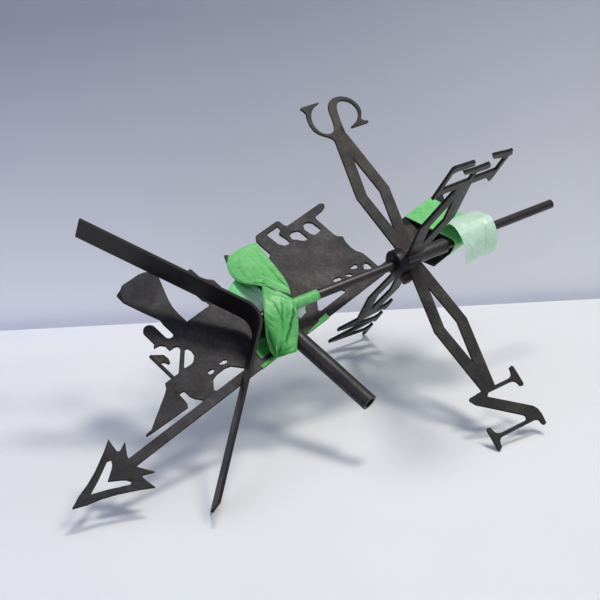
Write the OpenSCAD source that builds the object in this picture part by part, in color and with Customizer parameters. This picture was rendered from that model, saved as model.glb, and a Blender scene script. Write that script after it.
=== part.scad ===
// Locomotive weathervane, taken down and taped up as one bundle.
// The mast stands on Z while it is modelled, with N along +Y, E along +X and the hub at the origin.
// The bundle is then laid on the three points that it rests on.

/* [Mast] */
// Diameter of the mast rod
mast_d = 11.1; // [9.5:0.1:13]
// Height of the hub's centre above the bracket's crown
hub_height = 207; // [190:1:260]
// Length of the mast above the hub's centre
spindle_l = 214; // [190:1:280]
// Height of the dome on the mast's top
tip_dome = 1.5; // [0.5:0.1:3]

/* [Roof bracket] */
// Width of the bracket's strip
strip_w = 38.1; // [30:0.1:42]
// Thickness of the bracket's strip
strip_t = 3.2; // [2.5:0.1:5]
// Inside radius of the bend at the crown
bend_r = 22.4; // [16:0.2:26]
// Length of each straight leg
leg_l = 200; // [180:1:230]
// Angle of each leg from the mast's line
leg_angle = 50.2; // [46:0.1:54]
// Height of the weld bead round the mast's foot
foot_weld = 4.5; // [3:0.1:7]

/* [Hub] */
// Diameter of the hub collar
collar_d = 33.6; // [28:0.1:35]
// Height of the hub collar
collar_h = 12.6; // [11:0.1:15]
// Outside diameter of the sleeve that carries the arms
sleeve_d = 17.6; // [16:0.1:20]
// Length of the sleeve above the collar
sleeve_l = 60.6; // [45:0.1:70]
// Radial running clearance of the hub on the mast
hub_clear = 0.06; // [0.03:0.01:0.1]
// Shank diameter of the set screw
screw_d = 6.35; // [5:0.05:8]
// Width across the flats of the set screw's head
screw_head_w = 11.1; // [9:0.1:13]
// Height of the set screw's head
screw_head_h = 8.5; // [5:0.1:10]
// Leg length of the weld beads at the arms' roots
root_weld = 4; // [2.5:0.1:5]

/* [Arms] */
// Thickness of the cut plate
plate_t = 3.2; // [2.4:0.1:4]
// Half-width of an arm where it meets the sleeve
arm_root = 9.6; // [7:0.1:10]
// Half-width of an arm at its widest
arm_wide = 23.1; // [18:0.1:26]
// Distance of the widest place from the mast's line
arm_mid = 92; // [84:0.5:100]
// Half-width of an arm where its letter starts
arm_end = 9.6; // [7:0.1:11]
// Distance of the slot's inner point from the mast's line
slot_in = 40; // [32:0.5:50]
// Half-width of the slot
slot_wide = 9.2; // [5:0.1:12]
// Distance of the slot's outer point from the mast's line
slot_out = 142; // [125:0.5:152]
// Bend of the north arm away from square, towards the top
lean_n = 1; // [0:0.1:2]
// Bend of the east arm away from square, towards the foot
lean_e = 1.9; // [0:0.1:2.2]
// Bend of the west arm away from square, towards the foot
lean_w = 1.4; // [0:0.1:2.2]

/* [Letters] */
// Distance of the letters' inner edge from the mast's line
letter_r = 175; // [170:0.5:190]
// Width of a thin stroke
thin = 4.4; // [3:0.1:6]
// Width of a thick stroke
thick = 12.5; // [9:0.1:14]
// Width of a serif at its middle
serif_w = 6; // [4:0.1:7]

/* [Arrow] */
// Width of the arrow's shaft
shaft_w = 11; // [9:0.1:13]
// Distance of the arrow's point from the engine's datum
point_x = 418; // [405:1:430]
// Half-width of the arrow head
head_half = 36.5; // [30:0.5:40]
// Half-width of the tail fin
fin_half = 36.3; // [30:0.1:38]
// Length of the tail fin along its edge
fin_l = 97; // [90:1:110]
// Depth of the notch in the tail fin
fin_notch = 29.5; // [15:0.5:40]

/* [Pivot tube] */
// Outside diameter of the vane's pivot tube
tube_d = 19.05; // [17:0.05:21]
// Bore of the pivot tube
tube_bore = 12.7; // [12:0.1:14]
// Length of the pivot tube
tube_l = 151; // [130:1:160]
// Thickness of the cap on the tube's closed end
cap_t = 3.2; // [2:0.1:5]
// Distance of the tube's line from the engine's datum, towards the head
tube_x = 110.5; // [106:0.5:114]
// Height of the tube's closed end above the shaft's middle
tube_top = 34; // [28:0.5:38]

/* [How the bundle lies] */
// Height of the vane's datum on the mast, below the hub
vane_down = 63.8; // [60:0.1:68]
// Offset of the vane's datum from the mast's line, towards north
vane_side = 2.8; // [2:0.1:4]
// Turn of the arrow from the mast's line, in its own plane
vane_turn = 14.4; // [13.9:0.1:14.9]
// Tilt of the plate about the mast's line
vane_swing = 13.1; // [12.6:0.1:13.6]
// Tilt of the plate along the mast's line
vane_lean = 2.7; // [2.4:0.1:3]
// Clearance between pieces that are only taped together
rub_gap = 0.3; // [0.2:0.05:0.5]
// Turn of the bundle on the ground, seen from above
ground_turn = 30.7; // [0:0.1:60]

/* [Tape] */
// Width of the tape
tape_w = 48; // [44:0.5:50]
// Thickness of a wrap of tape with its wrinkles
tape_t = 0.9; // [0.6:0.1:1.2]
// Distance of the mast's wrap from the bracket's crown
mast_wrap_start = 39; // [37:0.5:45]
// Length of the mast's wrap, where the lashing lies over part of the tape
mast_wrap_l = 40; // [30:0.5:44]
// Distance of the fin's wrap from the engine's datum, towards the tail
fin_wrap_x = 119; // [112:0.5:126]
// Height of the loose end's lower edge above the hub
flap_base = 58; // [52:0.5:64]

/* [Hidden] */
$fn = 72;
steel = "#3b3a38";
dark_steel = "#2a272a";
tape_green = "#62c96a";
pale_tape = "#bfe8c4";

touch = 0.05;
mast_r = mast_d / 2;
tube_r = tube_d / 2;
sleeve_r = sleeve_d / 2;
half_t = plate_t / 2;
half_shaft = shaft_w / 2;

root_r = sleeve_r + 0.4;

// Where the hub's pieces stand on the mast, with the arms on the collar
arm_dip = (arm_wide - arm_root) * (collar_d / 2 - root_r) / (arm_mid - root_r);
collar_top = -arm_root - arm_dip - collar_d / 2 * sin(max(lean_e, lean_w)) - 2 * touch;
collar_base = collar_top - collar_h;
screw_z = collar_base + screw_head_w / 2 + touch;

// The bend at the bracket's crown
bend_out = bend_r + strip_t;
bend_z = -hub_height - bend_out;

// The vane's own axes, as directions in the mast's frame: x to the tail, y to the tube's open end
function unit(v) = v / norm(v);
plate_m = unit([-1, tan(vane_swing), tan(vane_lean)]);
along_mast = unit([0, 0, 1] - plate_m * plate_m[2]);
across_mast = cross(plate_m, along_mast);
vane_x = along_mast * cos(vane_turn) - across_mast * sin(vane_turn);
vane_y = across_mast * cos(vane_turn) + along_mast * sin(vane_turn);

// The shaft's lower edge lies against the near edge of the bracket's north leg
tube_lift = half_t + touch + tube_r;
leg_way = [sin(leg_angle), -cos(leg_angle)];
leg_start = [bend_r * cos(leg_angle), bend_z + bend_r * sin(leg_angle)];
edge_way = [vane_x[1], vane_x[2]];
edge_start = [vane_side + half_shaft * vane_y[1], half_shaft * vane_y[2] - vane_down];
leg_x = cross(leg_start - edge_start, leg_way) / cross(edge_way, leg_way);
vane_back = -strip_w / 2 - rub_gap - leg_x * vane_x[0] - half_shaft * vane_y[0] + half_t * plate_m[0];
vane_at = [vane_back, vane_side, -vane_down];

// The three points that the bundle rests on
function leaned(p, lean) = [p[0] * cos(lean) - p[1] * sin(lean), p[0] * sin(lean) + p[1] * cos(lean)];
serif_end = 67;
w_shift = -25;
w_serif_end = 96;
w_top = 31;
n_low = leaned([letter_r + serif_end, -28.5], lean_n);
w_low = leaned([letter_r + w_shift + w_serif_end, w_top + 1], -lean_w);
leg_end = [bend_out * cos(leg_angle) + leg_l * sin(leg_angle),
    bend_z + bend_out * sin(leg_angle) - leg_l * cos(leg_angle)];
rest_leg = [-strip_w / 2, leg_end[0], leg_end[1]];
rest_n = [-half_t, n_low[0], n_low[1]];
rest_w = [-w_low[0], half_t, w_low[1]];
up = unit(cross(rest_w - rest_n, rest_leg - rest_n));
mast_plan = unit([0, 0, 1] - up * up[2]);
mast_side = cross(up, mast_plan);
ground_x = mast_plan * cos(ground_turn) - mast_side * sin(ground_turn);
ground_y = mast_side * cos(ground_turn) + mast_plan * sin(ground_turn);

// Centres the bundle on the origin, from the places that stand out furthest
centre_x = -93.652;
centre_y = -56.977;

module laid() {
    multmatrix([[ground_x[0], ground_x[1], ground_x[2], -centre_x],
        [ground_y[0], ground_y[1], ground_y[2], -centre_y],
        [up[0], up[1], up[2], -(rest_n * up)],
        [0, 0, 0, 1]]) children();
}

module on_vane() {
    multmatrix([[vane_x[0], vane_y[0], plate_m[0], vane_at[0]],
        [vane_x[1], vane_y[1], plate_m[1], vane_at[1]],
        [vane_x[2], vane_y[2], plate_m[2], vane_at[2]],
        [0, 0, 0, 1]]) children();
}

// A flat cut plate, with its thickness half on each side
module cut(t = plate_t) {
    translate([0, 0, -t / 2]) linear_extrude(t) children();
}

// Cubic curve through a and d, pulled towards b and c
function curve(a, b, c, d, n = 6) = [for (i = [0 : n]) let (s = i / n, r = 1 - s)
    a * r * r * r + b * 3 * r * r * s + c * 3 * r * s * s + d * s * s * s];
// An outline that is the same on both sides of a line, given by one side
function both_sides(half, at = 0) = concat([for (p = half) [at - p[0], p[1]]],
    [for (i = [len(half) - 1 : -1 : 0]) [at + half[i][0], half[i][1]]]);

// Twice the area inside an outline, below zero where its points run clockwise
function turning(p) = [for (i = [0 : len(p) - 1]) let (a = p[i], b = p[(i + 1) % len(p)])
    a[0] * b[1] - b[0] * a[1]] * [for (q = p) 1];

// An outline whose points run anticlockwise, so that outlines that overlap join into one
module outline(p) {
    polygon(turning(p) < 0 ? [for (i = [len(p) - 1 : -1 : 0]) p[i]] : p);
}

// A straight stroke of width w from a to b
module stroke(a, b, w) {
    d = unit(b - a);
    s = [-d[1], d[0]] * w / 2;
    outline([a - s, b - s, b + s, a + s]);
}

// A bracketed serif across the end of a stroke that arrives from the -x side
module serif(at, up_l, down_l, w = serif_w, dir = 1) {
    x = at[0];
    y = at[1];
    b = dir * w / 2;
    neck = thin / 2;
    outline(concat(
        curve([x - 4 * b, y + neck], [x - 1.6 * b, y + neck], [x - b, y + up_l * 0.5], [x - b * 0.8, y + up_l]),
        [[x + b * 0.5, y + up_l + 1], [x + b, y + up_l - 1], [x + b, y - down_l + 1], [x + b * 0.5, y - down_l - 1]],
        curve([x - b * 0.8, y - down_l], [x - b, y - down_l * 0.5], [x - 1.6 * b, y - neck], [x - 4 * b, y - neck])));
}

// Structure

module roof_bracket() {
    color(dark_steel) rotate([0, 0, 90]) rotate([90, 0, 0]) linear_extrude(strip_w, center = true) {
        translate([0, bend_z]) intersection() {
            difference() {
                circle(bend_out);
                circle(bend_r);
            }
            outline([[0, 0], 2 * bend_out * [cos(leg_angle), sin(leg_angle)], [0, 4 * bend_out],
                2 * bend_out * [-cos(leg_angle), sin(leg_angle)]]);
        }
        for (side = [-1, 1])
            outline([for (p = [[bend_r, 0], [bend_out, 0], [bend_out, leg_l], [bend_r, leg_l]])
                [side * (p[0] * cos(leg_angle) + p[1] * sin(leg_angle)),
                    bend_z + p[0] * sin(leg_angle) - p[1] * cos(leg_angle)]]);
    }
}

module mast_rod() {
    color(steel) rotate_extrude()
        polygon(concat([[0, -hub_height], [mast_r, -hub_height]],
            curve([mast_r, spindle_l - tip_dome], [mast_r, spindle_l - tip_dome * 0.4],
                [mast_r * 0.6, spindle_l], [0, spindle_l])));
}

module foot_weld_bead() {
    foot = mast_r + touch;
    color(steel) difference() {
        rotate_extrude()
            polygon(concat([[foot, -hub_height - 3], [foot + foot_weld, -hub_height - 3]],
                curve([foot + foot_weld, -hub_height], [foot + foot_weld * 0.4, -hub_height + foot_weld * 0.35],
                    [foot + foot_weld * 0.1, -hub_height + foot_weld * 0.6], [foot, -hub_height + foot_weld])));
        translate([0, 0, bend_z]) rotate([0, 90, 0]) cylinder(r = bend_out + touch, h = strip_w, center = true);
    }
}

module hub_collar() {
    edge = 1;
    bore = mast_r + hub_clear;
    rim = collar_d / 2;
    color(dark_steel) difference() {
        rotate_extrude()
            polygon([[bore, collar_base], [rim - edge, collar_base], [rim, collar_base + edge],
                [rim, collar_top - edge], [rim - edge, collar_top], [bore, collar_top]]);
        translate([0, 0, screw_z]) rotate([-90, 0, 0]) cylinder(d = screw_d + 2 * touch, h = collar_d);
    }
}

module hub_sleeve() {
    color(steel) translate([0, 0, collar_top + touch]) difference() {
        cylinder(d = sleeve_d, h = sleeve_l);
        translate([0, 0, -1]) cylinder(r = mast_r + hub_clear, h = sleeve_l + 2);
    }
}

module set_screw() {
    seat = collar_d / 2 + touch;
    color("#3a2620") translate([0, 0, screw_z]) rotate([-90, 0, 0]) {
        translate([0, 0, mast_r + touch]) cylinder(d = screw_d, h = seat - mast_r + screw_head_h / 2);
        difference() {
            translate([0, 0, seat]) cylinder(d = screw_head_w / cos(30), h = screw_head_h, $fn = 6);
            translate([0, 0, seat + screw_head_h]) rotate_extrude()
                polygon([[screw_head_w * 0.46, 0], [screw_head_w, 0], [screw_head_w, -screw_head_w * 0.31]]);
        }
    }
}

// Directionals

module arm_outline(end_r) {
    w_at_end = arm_wide - (arm_wide - arm_end) * (end_r - arm_mid) / (172 - arm_mid);
    difference() {
        outline([[arm_root, root_r], [arm_wide, arm_mid], [w_at_end, end_r],
            [-w_at_end, end_r], [-arm_wide, arm_mid], [-arm_root, root_r]]);
        outline([[0, slot_in], [slot_wide, arm_mid - 1], [0, slot_out], [-slot_wide, arm_mid - 1]]);
    }
}

// Stands an outline drawn as (height on the mast, distance from it) out along one compass point
module arm(turn, lean) {
    color(steel) rotate([0, 0, turn]) rotate([lean, 0, 0]) rotate([0, -90, 0]) cut() children();
}

module letter_n() {
    inner = letter_r + thin / 2;
    outer = letter_r + 52.5;
    left = -29.4;
    right = 42.7;
    stroke([left + 12, inner], [right - 8, inner], thin);
    serif([right - serif_w / 2, inner], 11, 13);
    outline([[left, letter_r + 3.4], [left + 2, letter_r + 1], [-13, letter_r + 0.4], [-8, letter_r - 2],
        [-4, letter_r + 5], [-7, letter_r + 8], [38, letter_r + 39.6], [41.4, letter_r + 44.5],
        [right, letter_r + 51.5], [41.5, letter_r + 63], [39, letter_r + 64.3], [36.5, letter_r + 62.5],
        [35.5, letter_r + 56.5], [31, letter_r + 54.5], [20, letter_r + 52], [23, letter_r + 47],
        [22, letter_r + 44.5], [-25, letter_r + 10.5]]);
    stroke([left + 8, outer], [right - 8, outer], thin);
    serif([left + serif_w / 2, outer], 12.5, 12.5, dir = -1);
    outline([[left, outer], [left + 6, outer], [-24, letter_r + 64], [-26, letter_r + 66],
        [-28.5, letter_r + serif_end], [left - 0.4, letter_r + 64]]);
}

module letter_s() {
    outline([for (p = concat(
        curve([-9.5, -5], [-11, 5], [-29.3, 6], [-29.2, 24]),
        curve([-29.2, 24], [-29, 31], [-27.5, 36], [-26, 41], 3),
        [[-28, 46.5], [-30, 48], [-28.5, 50], [-3, 50]],
        curve([-3, 49], [-14, 46.5], [-24.5, 38], [-24.3, 23]),
        curve([-24.3, 23], [-24, 12], [-17, 6], [-10, 6]),
        curve([-10, 6], [-1, 6], [1.5, 19], [2.5, 28]),
        curve([2.5, 28], [4, 42], [9, 50], [21, 50]),
        curve([21, 50], [35, 50], [44, 39], [44.2, 27]),
        curve([44.2, 27], [44, 21], [40, 16], [37.5, 12.5], 3),
        [[40, 9], [44.5, 7.5], [44, 5], [20.5, 4.7]],
        curve([19.7, 6.5], [30, 10], [39.5, 17], [39.6, 27]),
        curve([39.6, 27], [39.6, 37], [32, 43.7], [24, 43.7]),
        curve([24, 43.7], [13, 43.7], [11, 20], [8, -3])))
        [p[0], letter_r + p[1]]]);
}

module letter_e() {
    low = -38;
    high = 40;
    stem = letter_r + 5;
    stroke([low + 1, stem], [high - 1, stem], thick);
    stroke([low + thin / 2, letter_r - 7], [low + thin / 2, letter_r + 52], thin);
    stroke([high - thin / 2, letter_r - 12], [high - thin / 2, letter_r + 48], thin);
    outline([[high - thin - 6, letter_r - 1], [high - thin, letter_r - 12], [high - 2, letter_r - 15],
        [high, letter_r - 12], [high, letter_r]]);
    outline([[low, letter_r + 42], [low + thin, letter_r + 44], [low + 9, letter_r + 46.5],
        [low + 31, letter_r + 44.5], [low + 28, letter_r + 54], [low + 2, letter_r + 57], [low, letter_r + 55]]);
    outline([[high - thin, letter_r + 35], [high + 4, letter_r + 38], [high - 1, letter_r + 47],
        [high - 28, letter_r + 54], [high - 23, letter_r + 44], [high - 13, letter_r + 40.5]]);
    stroke([3, stem], [3, letter_r + 28], thin);
    outline([[-17, letter_r + 37], [-13, letter_r + 30], [0, letter_r + 25], [20, letter_r + 23],
        [22, letter_r + 26], [17, letter_r + 35], [0, letter_r + 34]]);
}

module letter_w() {
    low = -36;
    pitch = 37.5;
    for (i = [0, 1]) {
        y = letter_r + w_shift + i * pitch;
        // A heavy stroke down to the vertex and a light stroke up again
        outline([[w_top, y - thick / 2], [w_top, y + thick / 2], [low + 12, y + 31.5], [low, y + 29],
            [low, y + 22]]);
        outline([[low, y + 24], [low + 8, y + 31.5], [w_top, y + pitch + thin / 2],
            [w_top, y + pitch - thin / 2]]);
    }
    for (i = [0 : 2]) {
        y = letter_r + w_shift + i * pitch;
        half = i < 2 ? 14 : w_serif_end - 2 * pitch;
        outline([[w_top - 7, y - 3], [w_top - 2, y - 8], [w_top - 1.5, y - 14], [w_top + 1, y - 15],
            [w_top + 2.5, y - 13], [w_top + 2.5, y + half - 3], [w_top + 1, y + half],
            [w_top - 1.5, y + half - 1], [w_top - 2, y + 8], [w_top - 7, y + 3]]);
    }
}

module arm_north() {
    arm(0, lean_n) {
        arm_outline(letter_r + 2);
        letter_n();
    }
}

module arm_south() {
    arm(180, 0) {
        arm_outline(letter_r);
        letter_s();
    }
}

module arm_east() {
    arm(-90, -lean_e) {
        arm_outline(letter_r + 2);
        letter_e();
    }
}

module arm_west() {
    arm(90, -lean_w) {
        arm_outline(letter_r - 14);
        letter_w();
    }
}

// Two fillet beads to each arm, along the sleeve
module arm_welds() {
    bead_r = sleeve_r + 3 * touch;
    face = half_t + touch;
    a0 = asin(face / bead_r);
    a1 = a0 + 16;
    color(steel) for (turn = [0 : 90 : 270], side = [0, 1])
        rotate([0, 0, turn]) mirror([0, side, 0]) translate([0, 0, -arm_root + 1])
            linear_extrude(2 * arm_root - 2)
                polygon([[bead_r * cos(a0), face], [sleeve_r + root_weld, face],
                    [sleeve_r + root_weld * 0.4, face + root_weld * 0.35],
                    [bead_r * cos(a1), bead_r * sin(a1)]]);
}

// Vane

module arrow_head() {
    h = head_half;
    b = -point_x + 76;
    difference() {
        outline(concat(
            [for (p = [[-76, 0], [-63, -6], [-48, -10.5], [-33, -17], [-13, -0.767 * h], [0, -h], [-1.5, -28],
                [-2.5, -19.5], [0, -18], [11, -23], [2, -9], [1, -half_shaft]]) [b + p[0], p[1]]],
            [[b + 30, -half_shaft], [b + 30, half_shaft]],
            [for (p = [[1, half_shaft], [2, 9], [11, 23], [0, 18], [-2.5, 19.5], [-1.5, 28], [0, h],
                [-13, 0.767 * h], [-33, 17], [-48, 10.5], [-63, 6]]) [b + p[0], p[1]]]));
        outline([for (p = [[-54, 0], [-38, -7], [-17, -18], [-13, -16.5], [-16, -11], [-20, -7.5], [-31, 0],
            [-20, 7.5], [-16, 11], [-13, 16.5], [-17, 18], [-38, 7]]) [b + p[0], p[1]]]);
    }
}

module tail_fin() {
    front = 91.5;
    outline([[front - 20, -half_shaft], [front - 13.5, -half_shaft], [front - 7.5, -18], [front, -fin_half],
        [front + fin_l, -fin_half], [front + fin_l - fin_notch, 0], [front + fin_l, fin_half],
        [front, fin_half], [front - 7.5, 18], [front - 13.5, half_shaft], [front - 20, half_shaft]]);
}

// The frame, boiler and tender in one outline, from the pilot's tip round to the tender's foot
module engine_body() {
    foot = -half_shaft + 1;
    outline([[-310, -15], [-302, -15.5], [-294, -20.5], [-262, -39.5], [-256.5, -44], [-254, -48.7],
        [-235, -48.7], [-212, -71.5], [-212, -75.5], [-215.5, -77.3], [-222.2, -77.4], [-222.2, -85],
        [-226, -89.3], [-233.5, -90.5], [-231.5, -93], [33, -93], [32.7, -73.3], [33.6, -69],
        [38.6, -64.4], [35.2, -55.6], [34.1, -46.7], [34.7, -40], [38.9, -31], [38.6, foot],
        [-238, foot], [-237.7, -8.3], [-242.7, -14.7], [-244.6, -20], [-244.8, -28], [-246, -29],
        [-251, -29], [-252, -28], [-252.4, -19.3], [-253.3, -13.7], [-255.3, -11], [-300.7, -12.5],
        [-310, -13.3]]);
}

module flag_and_brace() {
    post_x = -242.6;
    stroke([post_x, -46], [post_x, -85.6], 3.4);
    outline([[post_x - 1.7, -85.5], [post_x, -86], [-236.7, -81.3], [-231.5, -77], [-230.6, -70],
        [-232.4, -65], [-234.8, -65], [-236.2, -69], [-238.7, -71], [post_x, -70.3]]);
}

module headlamp() {
    lamp_x = -222;
    translate([lamp_x, -110.5]) circle(7.3);
    outline([[lamp_x - 7.3, -90], [lamp_x - 7.3, -110.5], [lamp_x + 7.3, -110.5], [lamp_x + 7.3, -90]]);
}

module funnel() {
    outline([[-204.8, -90], [-204.8, -108], [-203.6, -115], [-209.3, -130], [-219, -158.5], [-218.6, -170.5],
        [-212, -172.8], [-207, -176], [-204.5, -176.8], [-182, -176.8], [-175.5, -175.3], [-169, -171.5],
        [-165.7, -167], [-165.3, -162], [-172, -146], [-179, -128.5], [-182, -118], [-183, -108],
        [-183, -90]]);
}

module domes() {
    outline(both_sides([[12, -90], [12, -100.5], [14.2, -104], [14.2, -116], [9, -122], [5, -128.5],
        [5, -143], [4, -145]], -136));
    outline([[-102.5, -90], [-102.5, -97], [-99, -112], [-92.5, -126], [-88.5, -134.5], [-86.5, -133], [-84, -130.5],
        [-72, -129.3], [-62, -125.5], [-56, -112], [-54.5, -97], [-54.5, -90]]);
}

module cab() {
    outline([[-54, -90], [-51.4, -97.8], [-45.5, -101.7], [-45.6, -118], [-44.8, -126], [-41.4, -130.6],
        [-39, -131.6], [-6.5, -131.6], [-3.8, -129.5], [-3.4, -121.7], [-1.5, -118.6], [0.5, -118.2],
        [52.5, -118], [56.3, -116.2], [57.3, -113.9], [55.2, -110.6], [50, -108.6], [38, -107.8],
        [34.7, -106.7], [33.3, -103], [33, -90]]);
}

module cab_windows() {
    outline([[-29.6, -125.6], [-10.9, -125.6], [-10.1, -123.3], [-11.4, -118.9], [-15.9, -117.2],
        [-17, -115], [-15.5, -107], [-15.3, -100], [-16.7, -98], [-20.3, -97.8], [-24.8, -99.4],
        [-28.7, -105.6]]);
    outline([[-10.9, -101.7], [-8.7, -106.7], [-6.4, -107.8], [-2, -108], [3.6, -105.6], [5, -102.2],
        [5, -90], [3.6, -87.8], [-0.9, -88.9], [-4.2, -91.7], [-6.4, -95.6], [-10.3, -98.9]]);
    outline([[10.8, -101.1], [13.6, -105.6], [15.8, -107.6], [19.1, -108], [22.4, -106.7], [25.8, -102.8],
        [26.6, -90], [24.7, -87.8], [15.8, -86.9], [13, -88.9], [11.3, -93.3]]);
}

// The gap between two driving wheels, above the rail that the arrow's shaft makes
module wheel_gap(at) {
    outline(both_sides([[20, -half_shaft], [22.2, -8], [13, -19], [6, -21.2]], at));
}

module wheel_holes() {
    outline([[-211.3, -27.3], [-210.5, -29.8], [-204.7, -29.8], [-201.3, -27.6], [-206.5, -24.7], [-210, -25]]);
    outline([[-194, -28], [-192.5, -30], [-186.3, -30], [-183.4, -27.6], [-186.3, -24.4], [-190.5, -25.4]]);
    outline([[-18.5, -26.5], [-13, -27.5], [-7, -25.5], [-6, -23], [-10, -21], [-17, -23]]);
    outline([[-1.5, -21], [1, -23.2], [5, -21.5], [7.5, -18], [3, -16.5]]);
    outline([[10.2, -25.5], [12, -26.8], [20, -26.5], [21.9, -24.5], [18, -20.3], [13.5, -22]]);
    outline([[22.5, -14], [27, -19.8], [31, -20], [33, -18], [33, -10], [28, -9.5]]);
}

module vane_plate() {
    color(steel) on_vane() cut() {
        arrow_head();
        outline([[-point_x + 90, -half_shaft], [80, -half_shaft], [80, half_shaft], [-point_x + 90, half_shaft]]);
        tail_fin();
        difference() {
            union() {
                engine_body();
                headlamp();
                funnel();
                domes();
                cab();
            }
            cab_windows();
            wheel_gap(-198.5);
            wheel_gap(-38.5);
            wheel_holes();
            // The opening under the brace, and the slot between the lamp and the funnel
            outline([[-225.4, -49], [-225.4, -50.5], [-209, -67.3], [-206, -66.7], [-204.7, -62], [-206, -56],
                [-209.3, -52.7], [-213.3, -49.3], [-217, -48.4]]);
            translate([-209.8, -93]) circle(4.9);
            outline([[-214.7, -93], [-204.9, -93], [-204.9, -96], [-214.7, -96]]);
        }
        flag_and_brace();
    }
}

// Stands a shape on the pivot tube's line, with its base at the tube's closed end
module on_tube() {
    on_vane() translate([-tube_x, -tube_top, -tube_lift]) rotate([-90, 0, 0]) children();
}

module pivot_tube() {
    color(dark_steel) on_tube() difference() {
        cylinder(r = tube_r, h = tube_l);
        translate([0, 0, -1]) cylinder(d = tube_bore, h = tube_l + 2);
    }
}

module pivot_cap() {
    color(dark_steel) on_tube() translate([0, 0, -cap_t - touch]) cylinder(r = tube_r, h = cap_t);
}

// A bead down each side of the tube, where it lies on the plate
module tube_welds() {
    bead_l = tube_top + half_shaft - 6;
    bead_r = tube_r + 3 * touch;
    face = tube_r - touch;
    a0 = acos(face / bead_r);
    color(steel) on_tube() for (side = [0, 1])
        mirror([side, 0, 0]) translate([0, 0, 3]) linear_extrude(bead_l)
            polygon([[bead_r * sin(30), -bead_r * cos(30)], [bead_r * sin(44), -bead_r * cos(44)],
                [tube_r * 0.95, -face], [bead_r * sin(30), -face]]);
}

// Tape

// The point at s, from 0 to 1, between points i and i + 1 of a smooth curve through all of p
function between(p, i, s) = let (a = p[max(i - 1, 0)], b = p[i], c = p[i + 1], d = p[min(i + 2, len(p) - 1)])
    b + s * ((c - a) / 2 + s * (a - 2.5 * b + 2 * c - d / 2 + s * (1.5 * b - 1.5 * c + (d - a) / 2)));
function smooth(p, n) = concat([for (i = [0 : len(p) - 2], k = [0 : n - 1]) between(p, i, k / n)], [p[len(p) - 1]]);

// A net of points through rows of points
function net(rows, n) = let (down = [for (j = [0 : len(rows[0]) - 1]) smooth([for (r = rows) r[j]], n)])
    [for (i = [0 : len(down[0]) - 1]) smooth([for (c = down) c[i]], n)];

// A thin sheet of thickness t on a net of points, on the side from which the rows run to the right and downwards
module sheet(g, t) {
    m = len(g);
    n = len(g[0]);
    outer = [for (i = [0 : m - 1], j = [0 : n - 1]) let (down = g[min(i + 1, m - 1)][j] - g[max(i - 1, 0)][j],
        across = g[i][min(j + 1, n - 1)] - g[i][max(j - 1, 0)]) g[i][j] + t * unit(cross(down, across))];
    inner = [for (r = g, q = r) q];
    all = m * n;
    rim = concat([for (i = [0 : n - 2]) i], [for (j = [0 : m - 2]) j * n + n - 1],
        [for (i = [n - 1 : -1 : 1]) (m - 1) * n + i], [for (j = [m - 1 : -1 : 1]) j * n]);
    polyhedron(concat(inner, outer), concat(
        [for (j = [0 : m - 2], i = [0 : n - 2]) let (q = j * n + i) each [[q, q + 1, q + n], [q + 1, q + n + 1, q + n]]],
        [for (j = [0 : m - 2], i = [0 : n - 2]) let (q = all + j * n + i)
            each [[q + 1, q, q + n], [q + 1, q + n, q + n + 1]]],
        [for (k = [0 : len(rim) - 1]) let (p = rim[k], q = rim[(k + 1) % len(rim)])
            each [[q, p, p + all], [q, p + all, q + all]]]));
}

// Lengths along the mast here are from the bracket's crown, which holds the lashing
module from_crown() {
    translate([0, 0, -hub_height]) children();
}

// The wrap round the mast, beside the lashing
module tape_mast_wrap() {
    inner = mast_r + rub_gap;
    color(tape_green) from_crown() translate([0, 0, mast_wrap_start]) difference() {
        cylinder(r = inner + tape_t, h = mast_wrap_l);
        translate([0, 0, -1]) cylinder(r = inner, h = mast_wrap_l + 2);
    }
}

// The lashing's front, from the fold at its top over the mast and the tube to the arrow's shaft
module tape_front() {
    over = mast_r + rub_gap;
    color(tape_green) from_crown() sheet(net([
        [[-3, -34, 26], [3, -27, 32], [6, -16, 40], [over + 0.4, -3.4, 46.5]],
        [[over, -13, 14], [over + 2, -5, 21], [over + 3, 3, 33], [over + 3, 10, 43.5]],
        [[over + 1, 6, 5.5], [over, 12, 14], [over - 1, 17, 27], [over - 2, 21, 41]],
        [[-7, 21, 4], [-1, 30, 8], [0, 35, 20], [1, 37, 33]],
        [[-19, 40, 6], [-13, 46, 7], [1, 51, 12], [2, 52, 23]]], 3), tape_t);
}

// The lashing where it runs up over the boiler to the steam dome
module tape_upper() {
    off = half_t + rub_gap;
    color(tape_green) on_vane() sheet(net([
        [[-86, -130, -off], [-73, -129, -off - 0.5], [-60, -127, -off - 0.5], [-47.5, -123.5, -off]],
        [[-98.5, -118.5, -off - 1], [-82, -111, -off - 4], [-67, -106, -off - 4], [-52.5, -102, -off - 1]],
        [[-105, -103, -off - 3], [-92, -93.5, -off - 9], [-74, -87.5, -off - 9], [-58, -78, -off - 4]],
        [[-107, -84.5, -off - 12], [-100.5, -72.5, -off - 20], [-87, -62.5, -off - 22], [-69.5, -52, -off - 14]],
        [[-104.5, -62, -off - 29], [-102, -53, -off - 33], [-97, -42, -off - 33], [-87, -30, -off - 29]]], 3), tape_t);
}

// The twisted edge of the lashing, between the boiler and the bracket's crown
module tape_band() {
    off = half_t + rub_gap;
    color(tape_green) on_vane() sheet(net([
        [[-121, -93, -off], [-110, -98, -off], [-97, -101, -off]],
        [[-123.5, -77.5, -off - 2], [-111, -79, -off - 3], [-95, -82, -off - 5]],
        [[-124, -59, -off - 4], [-112, -60, -off - 7], [-101, -61, -off - 18]],
        [[-129, -40, -off - 5], [-121, -39.5, -off - 15], [-115, -43, -off - 24]]], 2), tape_t);
}

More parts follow.
